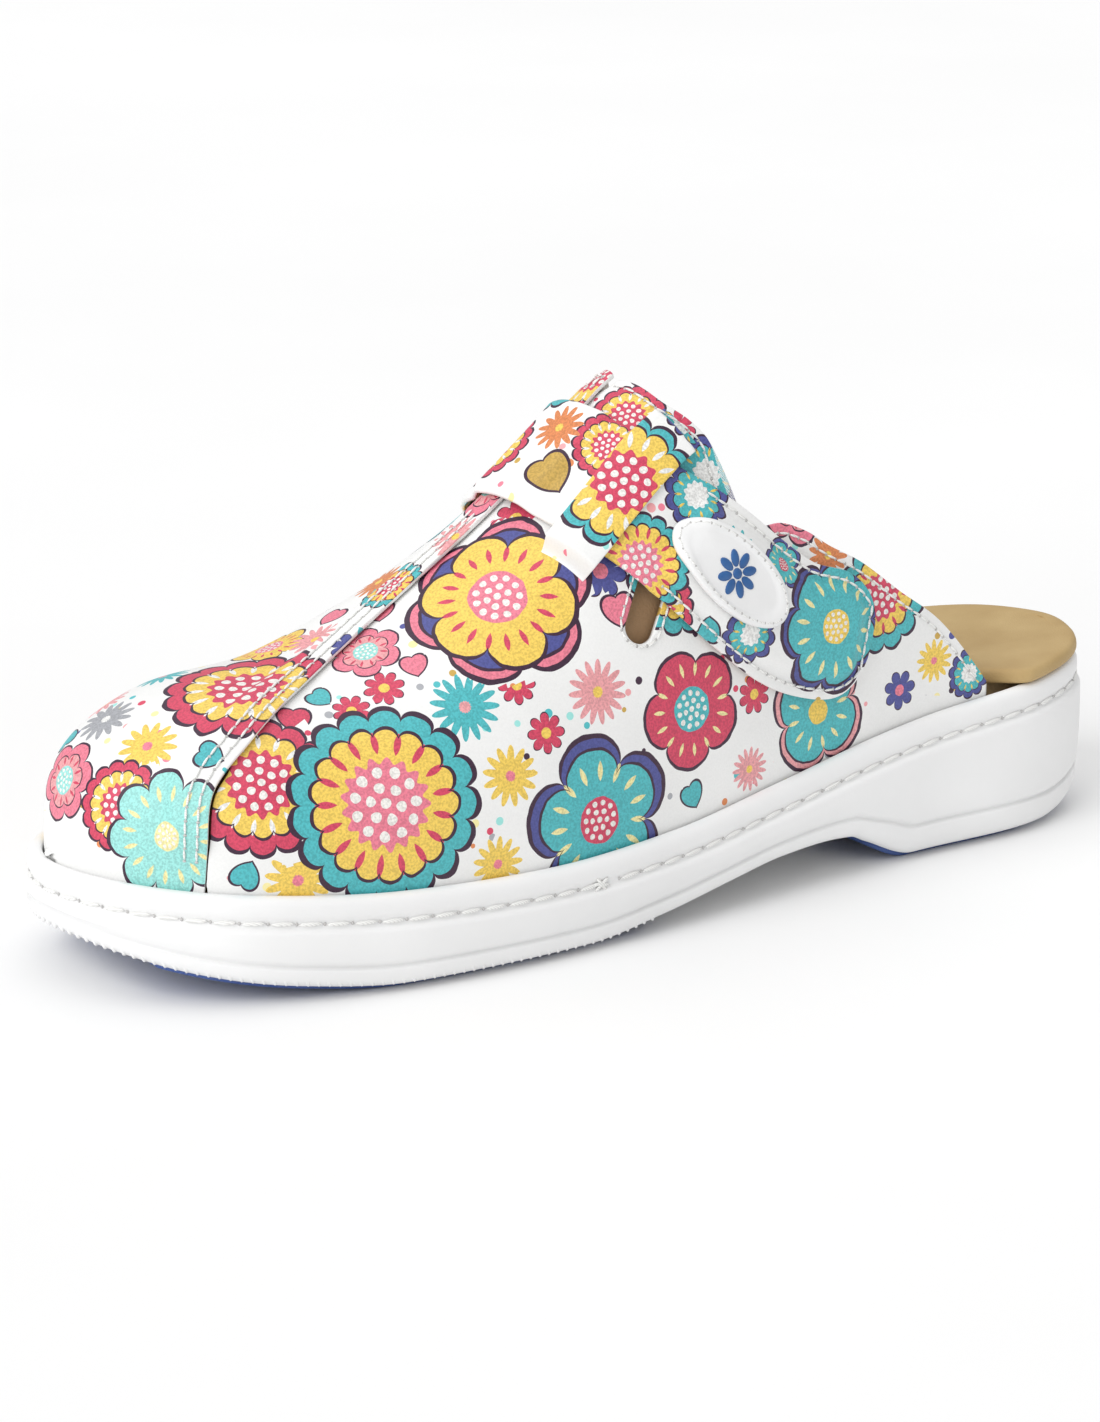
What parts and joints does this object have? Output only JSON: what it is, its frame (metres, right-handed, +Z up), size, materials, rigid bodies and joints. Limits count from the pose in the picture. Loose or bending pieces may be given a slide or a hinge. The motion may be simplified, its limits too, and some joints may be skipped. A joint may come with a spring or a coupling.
{
  "type": "clog",
  "caption": "Closed-toe backless comfort clog: white moulded cup sole, flower-printed leather upper with an off-centre seam, instep strap with a peel-off tab, tan footbed",
  "frame": {"origin": "on the floor, under the middle of the shoe's bounding box", "axes": "+X points to the heel and -X to the toe, along the shoe; -Y is the outer side of the left foot and +Y the inner side; +Z is up"},
  "size_m": [0.2622, 0.088, 0.1137],
  "materials": {
    "white_sole": "satin white moulded polyurethane",
    "blue_tread": "matte blue tread rubber",
    "white_thread": "waxed white sewing thread",
    "insole_board": "pressed fibre board",
    "footbed_core": "matte foam",
    "footbed_leather": "matte tan leather",
    "printed_leather": "satin white leather printed with flowers",
    "brown_lining": "matte brown lining leather",
    "white_fastener": "napped hook and loop tape",
    "white_rubber": "satin white soft rubber",
    "blue_rubber": "satin blue ink"
  },
  "bodies": {
    "shoe": {"sole_unit": "white_sole", "forefoot_tread": "blue_tread", "heel_tread": "blue_tread", "sidewall_thread": "white_thread", "insole_board": "insole_board", "medial_vamp": "printed_leather", "lateral_quarter": "printed_leather", "medial_lining": "brown_lining", "lateral_lining": "brown_lining", "seam_thread_1": "white_thread", "seam_thread_2": "white_thread", "outer_topline_thread": "white_thread", "inner_topline_thread": "white_thread", "slot_thread": "white_thread", "strap": "printed_leather", "strap_lining": "brown_lining", "strap_anchor_thread": "white_thread", "loop_patch": "white_fastener"},
    "tab": {"strap_tab": "printed_leather", "tab_backing": "brown_lining", "hook_patch": "white_fastener", "tab_thread": "white_thread", "badge": "white_rubber", "badge_flower": "blue_rubber", "badge_thread": "white_thread"},
    "footbed": {"footbed_core": "footbed_core", "footbed_cover": "footbed_leather"}
  },
  "joints": [
    {"name": "tab_peel", "type": "hinge", "parent": "shoe", "child": "tab", "pos_m": [0.00169, -0.02794, 0.08686], "axis": [-0.6789, -0.2121, -0.703], "range_deg": [0, 75]},
    {"name": "footbed_lift", "type": "hinge", "parent": "shoe", "child": "footbed", "pos_m": [-0.1226, 0.003, 0.0205], "axis": [0, -1, 0], "range_deg": [0, 8]}
  ]
}
